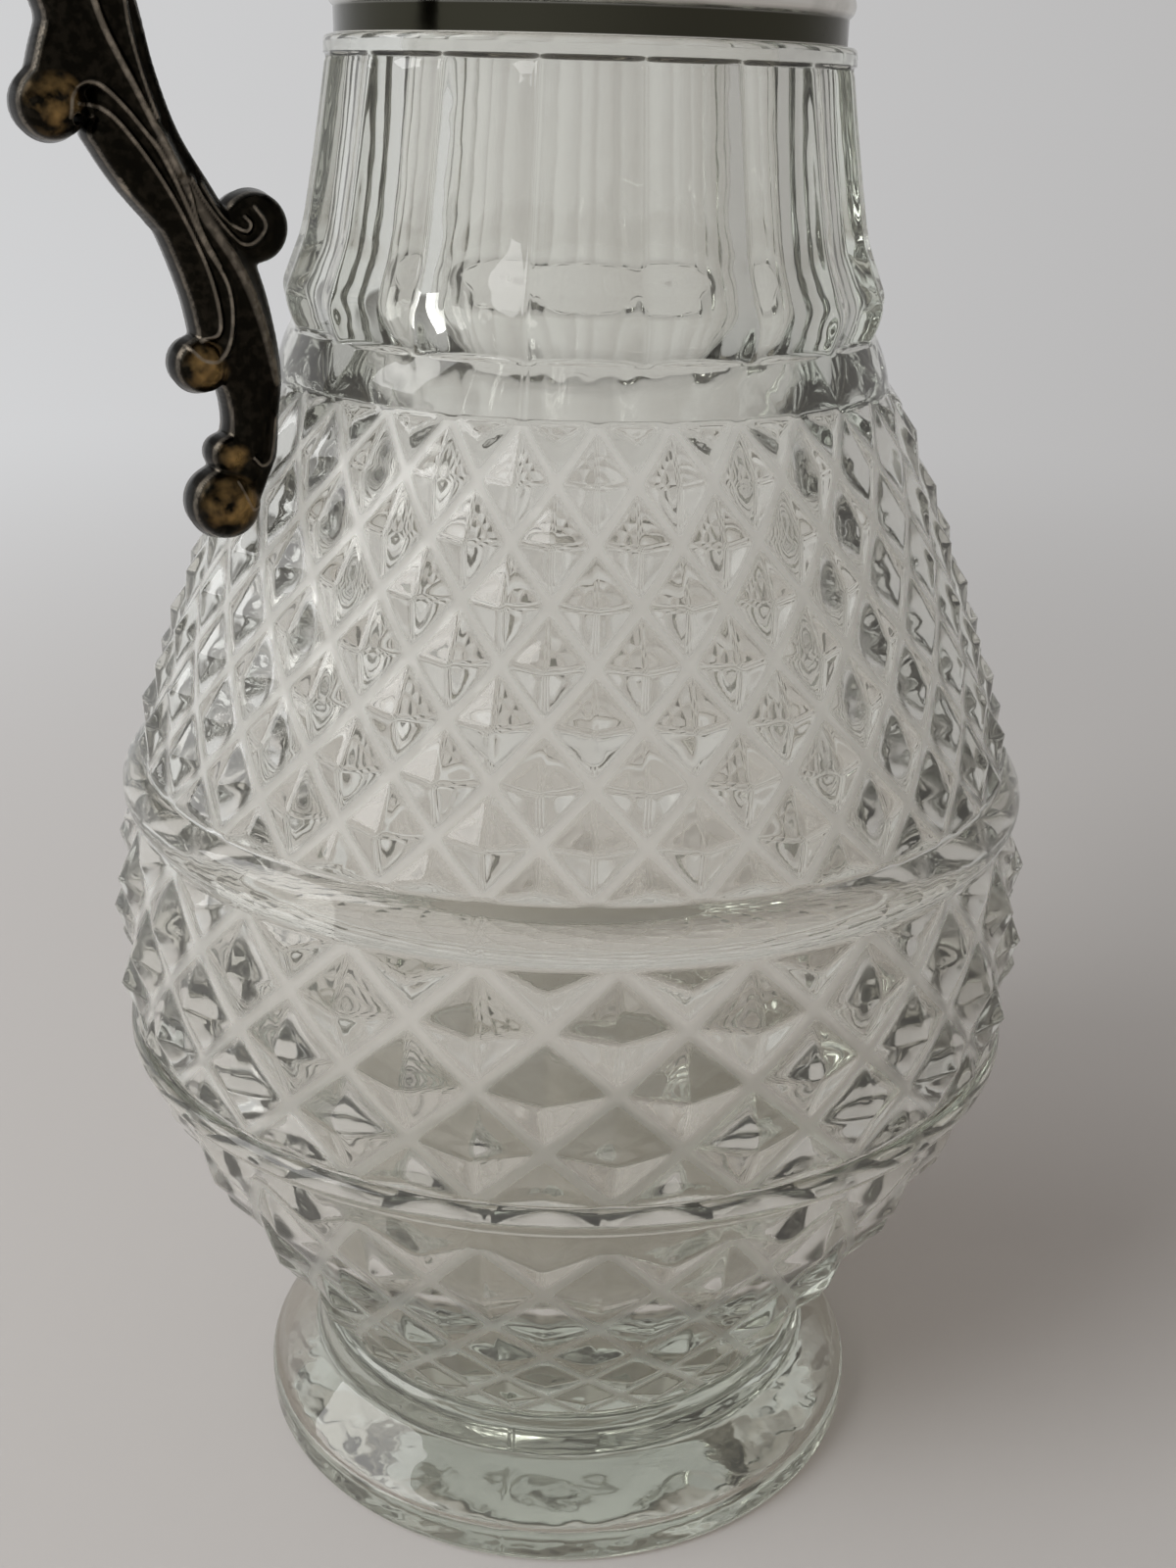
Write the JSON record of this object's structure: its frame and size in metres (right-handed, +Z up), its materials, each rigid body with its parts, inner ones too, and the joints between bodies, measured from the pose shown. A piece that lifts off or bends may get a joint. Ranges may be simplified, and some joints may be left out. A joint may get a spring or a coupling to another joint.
{
  "type": "lidded glass jug",
  "caption": "Footed pressed-glass claret jug with diamond relief and fluted neck, plated pouring neck with beak, hinged domed lid and cast scroll handle.",
  "frame": {"origin": "on the jug's axis in the plane of the foot's flat underside", "axes": "+Z up along the jug's axis, +X toward the pouring beak, -X toward the handle and the lid hinge"},
  "size_m": [0.1321, 0.125, 0.2686],
  "materials": {
    "glass": "fire-polished pressed glass, faint green tint",
    "plaster": "dry setting plaster",
    "plate": "silver plate with light tarnish",
    "pin_metal": "bare turned brass",
    "cast_metal": "cast, plated, dark tarnish with worn ridges"
  },
  "bodies": {
    "jug": {"glass_body": "glass", "plaster_bedding": "plaster", "collar": "plate", "pouring_neck": "plate", "rim_wire": "plate", "hinge_block": "plate", "hinge_pin": "pin_metal", "handle": "cast_metal"},
    "lid": {"lid": "plate", "lid_bezel": "plate", "lid_leaf": "plate", "thumbpiece": "cast_metal", "finial": "cast_metal", "finial_washer": "pin_metal", "finial_nut": "pin_metal"}
  },
  "joints": [
    {"name": "lid_hinge", "type": "hinge", "parent": "jug", "child": "lid", "pos_m": [-0.0376, 0, 0.2329], "axis": [0, -1, 0], "range_deg": [0, 108]}
  ]
}
